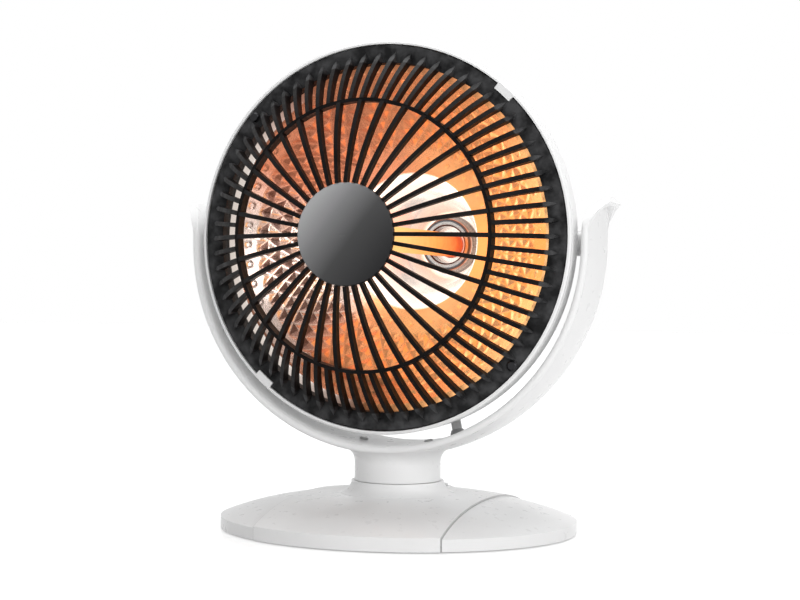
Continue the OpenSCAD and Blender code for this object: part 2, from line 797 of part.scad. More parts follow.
module yoke_shell() {
  post_r = 3.4;
  color("#f6f6f6") difference() {
    union() {
      yoke_body();
      neck();
    }
    difference() {
      yoke_sweep(arm_rise) hollow_section();
      yoke_frame() for (a = liner_screw_angles) on_ring(yoke_r_in + liner_t, a, face_mid)
        rotate([0, 90, 0]) cylinder(r = post_r, h = 12);
      at_pivots() translate([0, 0, yoke_r_in + liner_t + pin_head_t + slip])
        cylinder(r = pin_head_r, h = 6);
    }
    translate([0, 0, neck_z + neck_floor]) cylinder(r = neck_bore_r, h = pivot_z);
    translate([0, 0, neck_z - 1]) cylinder(r = spindle_r + run, h = neck_floor + 2);
    for (a = [0 : 120 : 240]) on_ring(spindle_screw_ring, a, neck_z + 0.8)
      cylinder(r = spindle_screw_r + run, h = neck_floor);
    yoke_frame() for (a = liner_screw_angles) on_ring(yoke_r_in, a, face_mid)
      rotate([0, 90, 0]) cylinder(r = screw_r + run, h = 9);
  }
}

module yoke_liner() {
  color("#f0f0f0") difference() {
    yoke_sweep(arm_rise - run) liner_section();
    at_pivots() translate([0, 0, yoke_r_in - 1]) cylinder(r = pin_r + run, h = liner_t + 2);
    yoke_frame() for (a = liner_screw_angles) on_ring(yoke_r_in - 1, a, face_mid)
      rotate([0, 90, 0]) cylinder(r = screw_r + slip, h = liner_t + 2);
    toward(yoke_gland_at, lead_way) translate([0, 0, -8]) cylinder(r = gland_r + run, h = 16);
  }
}

module liner_screws() {
  length = 8;
  color("#a7abb0") yoke_frame() for (a = liner_screw_angles)
    on_ring(yoke_r_in + length, a, face_mid) rotate([0, -90, 0])
      pan_screw(screw_r, screw_head_r - 0.4, 1.3, length + 0.1);
}

// GLANDS AND LEAD
module gland_sleeve(inside, outside) {
  difference() {
    union() {
      translate([0, 0, -inside]) cylinder(r = gland_r, h = inside + outside - 2);
      translate([0, 0, outside - 2 - eps]) cylinder(r1 = gland_r, r2 = gland_r - 0.8, h = 2);
    }
    translate([0, 0, -inside - 1]) cylinder(r = lead_r + run, h = inside + outside + 2);
  }
}

module head_gland() {
  color("#d5d6d8") toward(bowl_gland_at, lead_way) gland_sleeve(5, 5);
}

module yoke_gland() {
  color("#d5d6d8") toward(yoke_gland_at, lead_way) rotate([180, 0, 0]) gland_sleeve(2.2, 3.4);
}

module flex_lead() {
  color("#dcdddf") toward(bowl_gland_at, lead_way) translate([0, 0, -lead_in_bowl])
    cylinder(r = lead_r, h = lead_in_bowl + lead_gap + lead_in_yoke);
}

// SWIVEL
module swivel_spindle() {
  flange_r = neck_bore_r - 0.6;
  top = neck_z + neck_floor;
  color("#b4b8bd") difference() {
    union() {
      translate([0, 0, spindle_bottom]) cylinder(r = spindle_r, h = top - spindle_bottom + 0.5);
      translate([0, 0, top + eps]) cylinder(r = flange_r, h = spindle_flange_t);
    }
    cylinder(r = spindle_r - spindle_wall, h = top + 10);
    for (a = [0 : 120 : 240]) on_ring(spindle_screw_ring, a, top - 1)
      cylinder(r = spindle_screw_r + slip, h = 6);
  }
}

module spindle_screws() {
  length = 4;
  color("#a7abb0") for (a = [0 : 120 : 240])
    on_ring(spindle_screw_ring, a, neck_z + neck_floor + spindle_flange_t - length + 2 * eps)
      pan_screw(spindle_screw_r, 2 * spindle_screw_r, 1.2, length);
}

module spindle_washer() {
  color("#a7abb0") translate([0, 0, washer_stack_z - 1.1]) difference() {
    cylinder(r = guide_r, h = 1);
    translate([0, 0, -1]) cylinder(r = spindle_r + run, h = 3);
  }
}

module wave_washer() {
  color("#8b8f94") translate([0, 0, washer_stack_z - 2.1]) difference() {
    cylinder(r = guide_r - 0.5, h = 0.9);
    translate([0, 0, -1]) cylinder(r = spindle_r + run, h = 3);
  }
}

module swivel_nut() {
  height = 3.6;
  color("#a7abb0") translate([0, 0, washer_stack_z - 2.2 - height]) difference() {
    intersection() {
      cylinder(r = guide_r + 1, h = height, $fn = 6);
      cylinder(r = guide_r + 0.5, h = height);
    }
    translate([0, 0, -1]) cylinder(r = spindle_r + run, h = height + 2);
  }
}

// FOOT
module dome_solid(rx, ry, drop, z_low) {
  steps = 20;
  scale([1, ry / rx, 1]) rotate_extrude(convexity = 4)
    polygon(concat([[0, z_low]], [[rx, z_low]],
      [for (i = [steps : -1 : 0]) let (rho = sin(90 * i / steps))
        [rx * rho, base_top(rho) - drop]]));
}

module centre_strip(half) {
  translate([-half, -2 * base_ry, -lip_z]) cube([2 * half, 4 * base_ry, 3 * seam_z]);
}

module base_centre_cover() {
  foot_top = base_top(hub_boss_r / base_rx);
  arc_r = hub_boss_r + hub_fillet;
  color("#f7f7f7") difference() {
    union() {
      intersection() {
        difference() {
          dome_solid(base_rx + 1, base_ry, 0, cover_z);
          dome_solid(base_rx + 1 - base_wall, base_ry - base_wall, base_wall, cover_z - 5);
        }
        centre_strip(seam_x - seam / 2);
      }
      intersection() {
        for (p = screw_spots) if (abs(p[0]) < seam_x) translate([p[0], p[1], plate_top + slip / 2])
          cylinder(r = pillar_r, h = seam_z);
        dome_solid(base_rx, base_ry - 1, 1, 0);
      }
      rotate_extrude() difference() {
        translate([0, foot_top - base_wall]) square([arc_r, seam_z - foot_top + base_wall]);
        translate([arc_r, foot_top + hub_fillet - 0.3]) circle(hub_fillet);
        translate([arc_r - hub_fillet, foot_top + hub_fillet - 0.3]) square([hub_fillet + 1, 10]);
        translate([-1, 0]) square([hub_boss_r - 2.6 + 1, seam_z - 2.8]);
      }
      translate([0, 0, washer_stack_z]) cylinder(r = guide_r, h = seam_z - 1 - washer_stack_z);
    }
    translate([0, 0, washer_stack_z - 1]) cylinder(r = spindle_r + run, h = seam_z);
    translate([0, 0, seam_z - 0.5]) cylinder(r = thrust_r + slip, h = 5);
    rotate([0, 0, -90]) rotate_extrude(angle = 2 * stop_half, start = -stop_half)
      translate([stop_r - stop_d / 2 - 0.4, seam_z - 5]) square([stop_d + 0.8, 9]);
    switch_frame() cube([switch_w + slip, switch_d + slip, 2 * foot_top_z], center = true);
    for (p = screw_spots) if (abs(p[0]) < seam_x) translate([p[0], p[1], 0])
      cylinder(r = screw_r + run, h = pilot_top);
    inlet_frame() translate([0, 0, -foot_top_z])
      cylinder(r = inlet_r + 1.3 + run, h = 2 * foot_top_z);
  }
}

module base_wing() {
  difference() {
    union() {
      intersection() {
        difference() {
          dome_solid(base_rx, base_ry - wing_step, wing_step, cover_z);
          dome_solid(base_rx - base_wall, base_ry - wing_step - base_wall,
            wing_step + base_wall, cover_z - 5);
        }
        translate([seam_x + seam / 2, -2 * base_ry, -lip_z])
          cube([base_rx, 4 * base_ry, 3 * seam_z]);
      }
      intersection() {
        for (p = screw_spots) if (p[0] > seam_x) translate([p[0], p[1], plate_top + slip / 2])
          cylinder(r = pillar_r, h = seam_z);
        dome_solid(base_rx - 1, base_ry - wing_step - 1, wing_step + 1, 0);
      }
    }
    for (p = screw_spots) if (p[0] > seam_x) translate([p[0], p[1], 0])
      cylinder(r = screw_r + run, h = pilot_top);
  }
}

module base_wing_right() {
  color("#f5f5f5") base_wing();
}

module base_wing_left() {
  color("#f5f5f5") mirror([1, 0, 0]) base_wing();
}

module base_plate() {
  rx = base_rx - plate_inset;
  ry = base_ry - plate_inset - wing_step;
  color("#e4e4e4") difference() {
    translate([0, 0, plate_z]) linear_extrude(plate_t)
      polygon([for (a = [0 : 3 : 357]) [rx * cos(a), ry * sin(a)]]);
    for (p = screw_spots) translate([p[0], p[1], plate_z - 1]) rotate_extrude()
      polygon([[0, 0], [screw_head_r, 0], [screw_head_r, 2.7], [screw_r + slip, 2.7],
        [screw_r + slip, plate_t + 2], [0, plate_t + 2]]);
    for (p = foot_spots) translate([p[0], p[1], plate_z - 1]) {
      cylinder(r = foot_r + slip, h = foot_seat + 1);
      cylinder(r = foot_stem_r + 2 * run, h = plate_t + 2);
    }
    translate([plunger_spot[0], plunger_spot[1], 0]) cylinder(r = plunger_r + slip, h = 10);
  }
}

module base_screws() {
  length = 6.6;
  color("#9b9fa4") for (p = screw_spots) translate([p[0], p[1], plate_z + 1.7 + length - eps])
    rotate([180, 0, 0]) pan_screw(screw_r, screw_head_r - 0.3, 1.4, length);
}

module rubber_feet() {
  seat_z = plate_z + foot_seat - eps;
  color("#2c2c2e") for (p = foot_spots) translate([p[0], p[1], 0]) rotate_extrude()
    polygon([[0, 0], [foot_r - 0.5, 0], [foot_r, plate_z], [foot_r, seat_z],
      [foot_stem_r, seat_z], [foot_stem_r, plate_top + 0.6], [0, plate_top + 0.6]]);
}

module thrust_washer() {
  color("#c9c4b4") translate([0, 0, seam_z - 0.5]) difference() {
    cylinder(r = thrust_r, h = 0.6);
    translate([0, 0, -1]) cylinder(r = spindle_r + run, h = 3);
  }
}

module ballast_weight() {
  half_w = 52;
  half_d = 17;
  color("#6d6f72") translate([0, -46, plate_top + eps]) linear_extrude(ballast_h) difference() {
    square([2 * half_w, 2 * half_d], center = true);
    for (x = [-1, 1]) for (y = [-1, 1]) translate([half_w * x, half_d * y]) rotate(45)
      square(8, center = true);
  }
}

module switch_frame() {
  translate([0, switch_y, base_top(switch_rho)]) rotate([-switch_slope, 0, 0]) children();
}

module switch_housing() {
  color("#1d1d1f") switch_frame() difference() {
    union() {
      translate([0, 0, 0.3 - switch_depth / 2])
        cube([switch_w, switch_d, switch_depth + 0.6], center = true);
      translate([0, 0, 0.65]) cube([switch_w + 3, switch_d + 3, 1.1], center = true);
    }
    translate([0, 0, -switch_depth + 1.6]) translate([-rocker_w / 2 - slip, -rocker_d / 2 - 0.8, 0])
      cube([rocker_w + 2 * slip, rocker_d + 1.6, 20]);
  }
}

module rocker() {
  half = rocker_d / 2;
  color("#2a2a2c") switch_frame() translate([0, 0, rocker_axis])
    rotate([rocker_throw / 2, 0, 0]) translate([-rocker_w / 2, 0, 0]) rotate([90, 0, 90])
      linear_extrude(rocker_w) intersection() {
        polygon([[-half, 2.6], [0, 1.5], [half, 2.6], [half, -6], [-half, -6]]);
        circle(half + 0.65);
      }
}

module tip_switch() {
  color("#26272a") translate([plunger_spot[0], plunger_spot[1], 0]) difference() {
    union() {
      translate([-7, -5.4, 11.2]) cube([14, 10.8, 4.4]);
      for (s = [0, 1]) mirror([s, 0, 0]) translate([-7, -5.4, plate_top + eps])
        cube([1.8, 10.8, 12]);
    }
    cylinder(r = plunger_r - 0.6 + slip, h = 14);
  }
}

module tip_plunger() {
  flange_z = plate_top + plunger_travel + 0.2;
  color("#e8e4da") translate([plunger_spot[0], plunger_spot[1], 0]) {
    cylinder(r = plunger_r, h = flange_z + 0.5);
    translate([0, 0, flange_z]) cylinder(r = plunger_r + 1.6, h = 1);
    translate([0, 0, flange_z + 0.5]) cylinder(r = plunger_r - 0.6, h = 12.6 - flange_z);
  }
}

module plunger_spring() {
  low = plate_top + plunger_travel + 1.25;
  color("#b9bcc0") translate([plunger_spot[0], plunger_spot[1], low]) difference() {
    cylinder(r = plunger_r + 1, h = 11.15 - low);
    translate([0, 0, -1]) cylinder(r = plunger_r - 0.2, h = 12);
  }
}

module inlet_frame() {
  side = base_ry * sqrt(1 - pow(inlet_x / (base_rx + 1), 2));
  translate([inlet_x, side, inlet_z]) rotate([-90, 0, 0]) children();
}

module cord_gland() {
  color("#d9dadc") inlet_frame() difference() {
    union() {
      translate([0, 0, -4.4]) cylinder(r = inlet_r + 1.3, h = 6);
      translate([0, 0, 1.2]) cylinder(r = inlet_r + 1.7, h = 0.8);
      translate([0, 0, 1.6]) cylinder(r1 = inlet_r + 1.3, r2 = inlet_r + 0.7, h = 2.4);
    }
    translate([0, 0, -6]) cylinder(r = inlet_r, h = 12);
  }
}

module terminal_block() {
  color("#ece7d8") translate([terminal_spot[0], terminal_spot[1], plate_top + eps]) difference() {
    for (i = [-1 : 1]) translate([i * 8, 0, 0]) {
      translate([-4.1, -8, 0]) cube([8.2, 16, 5]);
      translate([-3, -5, 5 - eps]) cube([6, 10, 3]);
    }
    for (i = [-1 : 1]) translate([i * 8, 0, 5]) rotate([90, 0, 0])
      translate([0, 0, -10]) cylinder(r = 1.6, h = 20);
  }
}

grille();
hub_cap();
grille_screws();
bezel_ring();
reflector();
reflector_well();
element_collar();
ceramic_rod();
ceramic_socket();
socket_bracket();
thermal_cutoff();
rear_housing();
rear_cap();
housing_screws();
cap_screws();
pivot_bushes();
head_gland();
flex_lead();
yoke_shell();
yoke_liner();
liner_screws();
pivot_pins();
friction_washers();
yoke_gland();
swivel_spindle();
spindle_screws();
spindle_washer();
wave_washer();
swivel_nut();
base_centre_cover();
base_wing_left();
base_wing_right();
base_plate();
thrust_washer();
ballast_weight();
rubber_feet();
base_screws();
switch_housing();
rocker();
tip_switch();
tip_plunger();
plunger_spring();
cord_gland();
terminal_block();
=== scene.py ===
"""Looks of the radiant dish heater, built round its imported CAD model. Metres, +Z up, front -Y."""

import math
from collections import namedtuple

import bpy
from mathutils import Matrix, Vector


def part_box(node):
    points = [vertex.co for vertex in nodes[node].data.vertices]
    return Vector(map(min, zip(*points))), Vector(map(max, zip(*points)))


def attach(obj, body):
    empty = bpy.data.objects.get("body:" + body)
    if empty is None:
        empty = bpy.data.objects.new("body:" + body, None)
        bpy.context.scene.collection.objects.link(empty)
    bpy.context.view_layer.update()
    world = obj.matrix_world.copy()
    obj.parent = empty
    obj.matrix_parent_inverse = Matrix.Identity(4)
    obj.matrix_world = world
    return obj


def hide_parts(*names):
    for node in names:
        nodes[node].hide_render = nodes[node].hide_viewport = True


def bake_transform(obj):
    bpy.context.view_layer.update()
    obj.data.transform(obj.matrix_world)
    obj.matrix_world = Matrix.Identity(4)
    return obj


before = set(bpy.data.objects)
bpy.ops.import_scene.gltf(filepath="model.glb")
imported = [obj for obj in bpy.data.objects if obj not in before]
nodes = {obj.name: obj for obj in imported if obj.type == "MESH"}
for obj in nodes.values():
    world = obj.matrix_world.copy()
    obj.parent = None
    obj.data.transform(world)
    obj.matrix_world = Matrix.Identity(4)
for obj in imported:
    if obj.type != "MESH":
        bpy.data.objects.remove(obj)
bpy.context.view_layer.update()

# The head's axis runs along Y at this height, and the guard's rim lies in the plane y = RIM_Y.
# Depths are measured from that plane towards the back.
AXIS_Z = 0.1847
RIM_Y = -0.0348
WELL_FLOOR = 0.138
# The guard's flange begins between these radii, where the ribs end.
FLANGE_FROM, FLANGE_TO = 0.1083, 0.1089
# The foot's seams run along Y at this distance from the middle.
SEAM_X = 0.060

# The dish repeats the CAD parabola: radii of the well's edge, the mouth and the rim, the depths
# of the first two, and the thickness of the sheet.
WELL_R, MOUTH_R, RIM_R = 0.045, 0.104, 0.109
DISH_DEPTH, MOUTH_DEPTH = 0.059, 0.01045
SHEET = 0.0008
CURVE = (DISH_DEPTH - MOUTH_DEPTH) / (MOUTH_R ** 2 - WELL_R ** 2)

# Its pressed pattern repeats this often round the axis. The pyramids fill a band of radii, in
# rows, and fade in and out at the band's edges. Each ring of dimples has a radius, the radius of
# a dimple and its depth.
REPEATS = 48
PRESSED_FROM, PRESSED_TO, PRESSED_ROW = 0.060, 0.0945, 0.0115
FADE_IN, FADE_OUT = 0.003, 0.002
PYRAMID_HEIGHT = 0.001
DIMPLES = ((0.0985, 0.0021, 0.0012), (0.0545, 0.0014, 0.0006))

WHITE = (1, 1, 1, 1)
PLAIN_SHEET = (0.74, 0.74, 0.75, 1)


# CAMERA, LIGHTS, BACKGROUND

# The camera's place, its turn, rise and roll in degrees, and its lens in millimetres.
CAMERA_PLACE = (0.3623, -0.9602, 0.1482)
CAMERA_ANGLES = (20.633, 0.116, 0.424)
CAMERA_LENS = 72

# Each light has a name, a place, the point it faces, a width, a height and a power in watts.
LIGHTS = (
    ("key_light", (0.1, -1.8, 1.5), (0, 0, 0.15), 1.2, 1.0, 8.5),
    ("fill_light", (1.4, -1.1, 0.7), (0, 0, 0.12), 1.1, 0.9, 14),
    ("top_light", (0, 0.2, 1.7), (0, 0, 0.1), 1.3, 0.9, 19.5),
)
WORLD_STRENGTH = 0.32
# The floor glows by this much where it is seen, so that it is as white as the background.
FLOOR_LIFT = 0.36
FLOOR_REACH = 6


def add_camera():
    turn, rise, roll = (math.radians(angle) for angle in CAMERA_ANGLES)
    level = math.cos(rise)
    back = Vector((math.sin(turn) * level, -math.cos(turn) * level, math.sin(rise)))
    side = Vector((math.cos(turn), math.sin(turn), 0))
    up = back.cross(side)
    axes = Matrix((
        side * math.cos(roll) + up * math.sin(roll),
        up * math.cos(roll) - side * math.sin(roll),
        back,
    ))
    camera = bpy.data.objects.new("camera", bpy.data.cameras.new("camera"))
    camera.data.lens = CAMERA_LENS
    camera.data.sensor_width = 36
    camera.data.clip_start = 0.02
    camera.matrix_world = Matrix.Translation(CAMERA_PLACE) @ axes.transposed().to_4x4()
    bpy.context.scene.collection.objects.link(camera)
    bpy.context.scene.camera = camera


def add_area(name, place, target, width, height, watts):
    light = bpy.data.lights.new(name, "AREA")
    light.shape = "RECTANGLE"
    light.size, light.size_y = width, height
    light.energy = watts
    lamp = bpy.data.objects.new(name, light)
    lamp.location = place
    lamp.rotation_euler = (Vector(target) - Vector(place)).to_track_quat("-Z", "Y").to_euler()
    bpy.context.scene.collection.objects.link(lamp)


def seen_directly(tree):
    """1 for rays that show the background itself, in the view, in gloss or through glass."""
    path = tree.nodes.new("ShaderNodeLightPath")
    most = path.outputs["Is Camera Ray"]
    for kind in ("Is Glossy Ray", "Is Transmission Ray"):
        pick = tree.nodes.new("ShaderNodeMath")
        pick.operation = "MAXIMUM"
        tree.links.new(most, pick.inputs[0])
        tree.links.new(path.outputs[kind], pick.inputs[1])
        most = pick.outputs[0]
    return most


def add_world():
    world = bpy.data.worlds.new("studio")
    bpy.context.scene.world = world
    world.use_nodes = True
    tree = world.node_tree
    tree.nodes.clear()
    soft, white = (tree.nodes.new("ShaderNodeBackground") for _ in range(2))
    for background in (soft, white):
        background.inputs["Color"].default_value = WHITE
    soft.inputs["Strength"].default_value = WORLD_STRENGTH
    mix = tree.nodes.new("ShaderNodeMixShader")
    out = tree.nodes.new("ShaderNodeOutputWorld")
    tree.links.new(seen_directly(tree), mix.inputs[0])
    tree.links.new(soft.outputs[0], mix.inputs[1])
    tree.links.new(white.outputs[0], mix.inputs[2])
    tree.links.new(mix.outputs[0], out.inputs["Surface"])


def add_floor():
    near, far = -FLOOR_REACH, FLOOR_REACH
    corners = [(near, near, 0), (far, near, 0), (far, far, 0), (near, far, 0)]
    mesh = bpy.data.meshes.new("floor")
    mesh.from_pydata(corners, [], [(0, 1, 2, 3)])
    floor = bpy.data.objects.new("floor", mesh)
    bpy.context.scene.collection.objects.link(floor)
    finish = Finish("white_floor", Base_Color=(0.84, 0.84, 0.84, 1), Specular_IOR_Level=0.3)
    finish.link("Roughness", finish.spread(finish.noise(3, 2), 0.14, 0.19))
    finish.shader.inputs["Emission Color"].default_value = WHITE
    lift = finish.math("MULTIPLY", seen_directly(finish.tree), FLOOR_LIFT)
    finish.link("Emission Strength", lift)
    finish.wear(floor)


# MATERIALS

class Finish:
    """A procedural material. Its patterns are measured in metres on the object."""

    def __init__(self, name, **sockets):
        self.material = bpy.data.materials.new(name)
        self.material.use_nodes = True
        self.tree = self.material.node_tree
        self.shader = self.tree.nodes["Principled BSDF"]
        for socket, value in sockets.items():
            self.shader.inputs[socket.replace("_", " ")].default_value = value
        self.place = self.add("ShaderNodeTexCoord").outputs["Object"]

    def add(self, kind, settings=None, **sockets):
        node = self.tree.nodes.new(kind)
        for key, value in (settings or {}).items():
            setattr(node, key, value)
        for socket, value in sockets.items():
            self.connect(node.inputs[socket.replace("_", " ")], value)
        return node

    def connect(self, socket, value):
        if isinstance(value, bpy.types.NodeSocket):
            self.tree.links.new(value, socket)
        else:
            socket.default_value = value

    def link(self, socket, source):
        self.tree.links.new(source, self.shader.inputs[socket])

    def noise(self, scale, detail=3):
        node = self.add("ShaderNodeTexNoise", Vector=self.place, Scale=scale, Detail=detail)
        return node.outputs["Fac"]

    def blend(self, factor, first, second, kind="MIX"):
        node = self.add("ShaderNodeMix", {"data_type": "RGBA", "blend_type": kind})
        for index, value in ((0, factor), (6, first), (7, second)):
            self.connect(node.inputs[index], value)
        return node.outputs[2]

    def math(self, operation, *values):
        node = self.add("ShaderNodeMath", {"operation": operation})
        for socket, value in zip(node.inputs, values):
            self.connect(socket, value)
        return node.outputs[0]

    def spread(self, source, low, high, start=0.3, end=0.7):
        """low where the source is at or below start, high where it is at or above end."""
        node = self.add(
            "ShaderNodeMapRange", Value=source,
            From_Min=start, From_Max=end, To_Min=low, To_Max=high)
        return node.outputs[0]

    def ramp(self, source, stops):
        node = self.add("ShaderNodeValToRGB", Fac=source)
        points = node.color_ramp.elements
        while len(points) < len(stops):
            points.new(0.5)
        for point, (position, colour) in zip(points, stops):
            point.position = position
            point.color = (*colour, 1)
        return node.outputs["Color"]

    def two_tone(self, source, low, high):
        """One colour where a noise is low, the other where it is high."""
        return self.ramp(source, [(0.3, low), (0.7, high)])

    def bumps(self, *layers):
        """Each layer is (height, depth in metres)."""
        normal = None
        for height, depth in layers:
            node = self.add("ShaderNodeBump", Height=height, Distance=depth, Strength=1.0)
            if normal:
                self.tree.links.new(normal, node.inputs["Normal"])
            normal = node.outputs[0]
        self.link("Normal", normal)

    def wear(self, *things):
        for thing in things:
            thing.data.materials.clear()
            thing.data.materials.append(self.material)
            for face in thing.data.polygons:
                face.material_index = 0


def tones(colour, spread):
    return [tuple(min(1, c * (1 + k * spread)) for c in colour) for k in (-1, 1)]


def moulded(name, colour, roughness, grain, tone=0.015, **sockets):
    """Injection-moulded plastic: faint flow marks, an even fine grain and slightly uneven gloss."""
    finish = Finish(name, **sockets)
    finish.link("Base Color", finish.two_tone(finish.noise(22), *tones(colour, tone)))
    uneven = finish.noise(160, 4)
    finish.link("Roughness", finish.spread(uneven, roughness * 0.88, roughness * 1.12))
    finish.bumps((finish.noise(35, 1), grain * 8), (finish.noise(1500, 2), grain))
    return finish


def white_plastic(name):
    """The gloss white of all covers, with a thin clear skin."""
    return moulded(
        name, (0.86, 0.86, 0.86), 0.3, grain=0.000001,
        Specular_IOR_Level=0.15, Coat_Weight=0.15, Coat_Roughness=0.06)


def white_foot():
    """The same white plastic, with painted shade greying the two seams of the foot."""
    finish = white_plastic("white_foot")
    plain = finish.shader.inputs["Base Color"].links[0].from_socket
    parts = finish.add("ShaderNodeSeparateXYZ", Vector=finish.place)
    side = finish.math("ABSOLUTE", parts.outputs["X"])
    away = finish.math("ABSOLUTE", finish.math("SUBTRACT", side, SEAM_X))
    # Painted shade along the two seams.
    painted_seam_shade = finish.spread(away, 1, 0, 0.0002, 0.0005)
    finish.link("Base Color", finish.blend(painted_seam_shade, plain, (0.58, 0.58, 0.58, 1)))
    return finish


def metal(name, colour, roughness, scale=900, depth=0.00001):
    """Bare or plated metal with tumbled marks."""
    finish = Finish(name, Metallic=1.0)
    marks = finish.noise(scale, 4)
    finish.link("Base Color", finish.two_tone(finish.noise(60, 4), *tones(colour, 0.08)))
    finish.link("Roughness", finish.spread(marks, roughness * 0.75, roughness * 1.3))
    finish.bumps((marks, depth))
    return finish


HeadPlaces = namedtuple("HeadPlaces", "across up radius depth")


def head_places(finish):
    """Distances right of and above the head's axis, from the axis, and behind the guard's rim."""
    parts = finish.add("ShaderNodeSeparateXYZ", Vector=finish.place)
    across = parts.outputs["X"]
    up = finish.math("SUBTRACT", parts.outputs["Z"], AXIS_Z)
    squares = [finish.math("POWER", distance, 2.0) for distance in (across, up)]
    radius = finish.math("SQRT", finish.math("ADD", *squares))
    return HeadPlaces(across, up, radius, finish.math("SUBTRACT", parts.outputs["Y"], RIM_Y))


def towards(finish, at, degrees):
    """How far a place lies from the head's axis in one direction, in degrees above the right."""
    turn = math.radians(degrees)
    right = finish.math("MULTIPLY", at.across, math.cos(turn))
    return finish.math("ADD", right, finish.math("MULTIPLY", at.up, math.sin(turn)))


def leaning(finish, at, degrees):
    """1 for places straight in that direction from the axis, 0 beside it, -1 opposite."""
    return finish.math("DIVIDE", towards(finish, at, degrees), at.radius)


def front_side(finish, at):
    """1 on the surfaces of a bowl that face the head's axis or the front, 0 on its outside."""
    normal = finish.add("ShaderNodeTexCoord").outputs["Normal"]
    facing = finish.add("ShaderNodeSeparateXYZ", Vector=normal).outputs
    sideways = finish.math("MULTIPLY", facing["X"], at.across)
    outward = finish.math("ADD", sideways, finish.math("MULTIPLY", facing["Z"], at.up))
    outward = finish.math("DIVIDE", outward, at.radius)
    return finish.spread(finish.math("ADD", outward, facing["Y"]), 1, 0, -0.2, 0.2)


def guard_black():
    """Satin black coating over a cast surface, paler and clouded on the flat of the flange."""
    finish = Finish("guard_black", Specular_IOR_Level=0.06)
    at = head_places(finish)
    patches = finish.noise(120)
    ribs = finish.ramp(patches, [(0.32, (0.004, 0.0035, 0.0035)), (0.68, (0.009, 0.0075, 0.0075))])
    flange = finish.ramp(patches, [(0.36, (0.014, 0.014, 0.0145)), (0.66, (0.065, 0.065, 0.067))])
    on_flange = finish.spread(at.radius, 0, 1, FLANGE_FROM, FLANGE_TO)
    finish.link("Base Color", finish.blend(on_flange, ribs, flange))
    finish.link("Roughness", finish.spread(patches, 0.36, 0.52))
    finish.bumps((patches, 0.0005), (finish.noise(900), 0.00002))
    return finish


def hub_grey():
    """Satin grey paint with painted light: lighter at the upper left, darkening to the lower right.
    """
    finish = Finish("hub_grey", Specular_IOR_Level=0.2)
    grain = finish.noise(1400)
    uneven = finish.math("MULTIPLY", finish.noise(30, 2), 0.003)
    # Painted light: the grey lightens towards the upper left and darkens towards the lower right.
    painted_light_fall = finish.math("ADD", towards(finish, head_places(finish), -38), uneven)
    finish.link("Base Color", finish.ramp(finish.spread(painted_light_fall, 0, 1, -0.028, 0.03), [
        (0, (0.42, 0.42, 0.425)),
        (0.3, (0.20, 0.20, 0.204)),
        (0.6, (0.055, 0.055, 0.056)),
        (1, (0.012, 0.012, 0.013)),
    ]))
    finish.link("Roughness", finish.spread(grain, 0.38, 0.48))
    finish.bumps((grain, 0.000012))
    return finish


def painted_facet_shading(finish, at):
    """Painted light and shade for the pyramids' four faces, which lie where hammering() raises
    them, else white.
    """
    turns = finish.math("ARCTAN2", at.up, at.across)
    column = finish.math("MULTIPLY", turns, REPEATS / (2 * math.pi))
    row = finish.math("DIVIDE", finish.math("SUBTRACT", at.radius, PRESSED_FROM), PRESSED_ROW)
    ways = [finish.math("FRACT", finish.math(way, column, row)) for way in ("ADD", "SUBTRACT")]
    first, second = (finish.spread(way, 0, 1, 0.49, 0.51) for way in ways)
    inward = finish.blend(first, (0.60, 0.46, 0.42, 1), (1, 0.98, 0.96, 1))
    outward = finish.blend(second, (0.90, 0.74, 0.66, 1), (0.30, 0.20, 0.17, 1))
    ridges = [finish.math("ABSOLUTE", finish.math("SUBTRACT", way, 0.5)) for way in ways]
    shade = finish.blend(finish.math("LESS_THAN", *ridges), outward, inward)
    begun = finish.spread(at.radius, 0, 1, PRESSED_FROM, PRESSED_FROM + 0.002)
    not_ended = finish.spread(at.radius, 1, 0, PRESSED_TO - 0.001, PRESSED_TO)
    return finish.blend(finish.math("MULTIPLY", begun, not_ended), WHITE, shade)


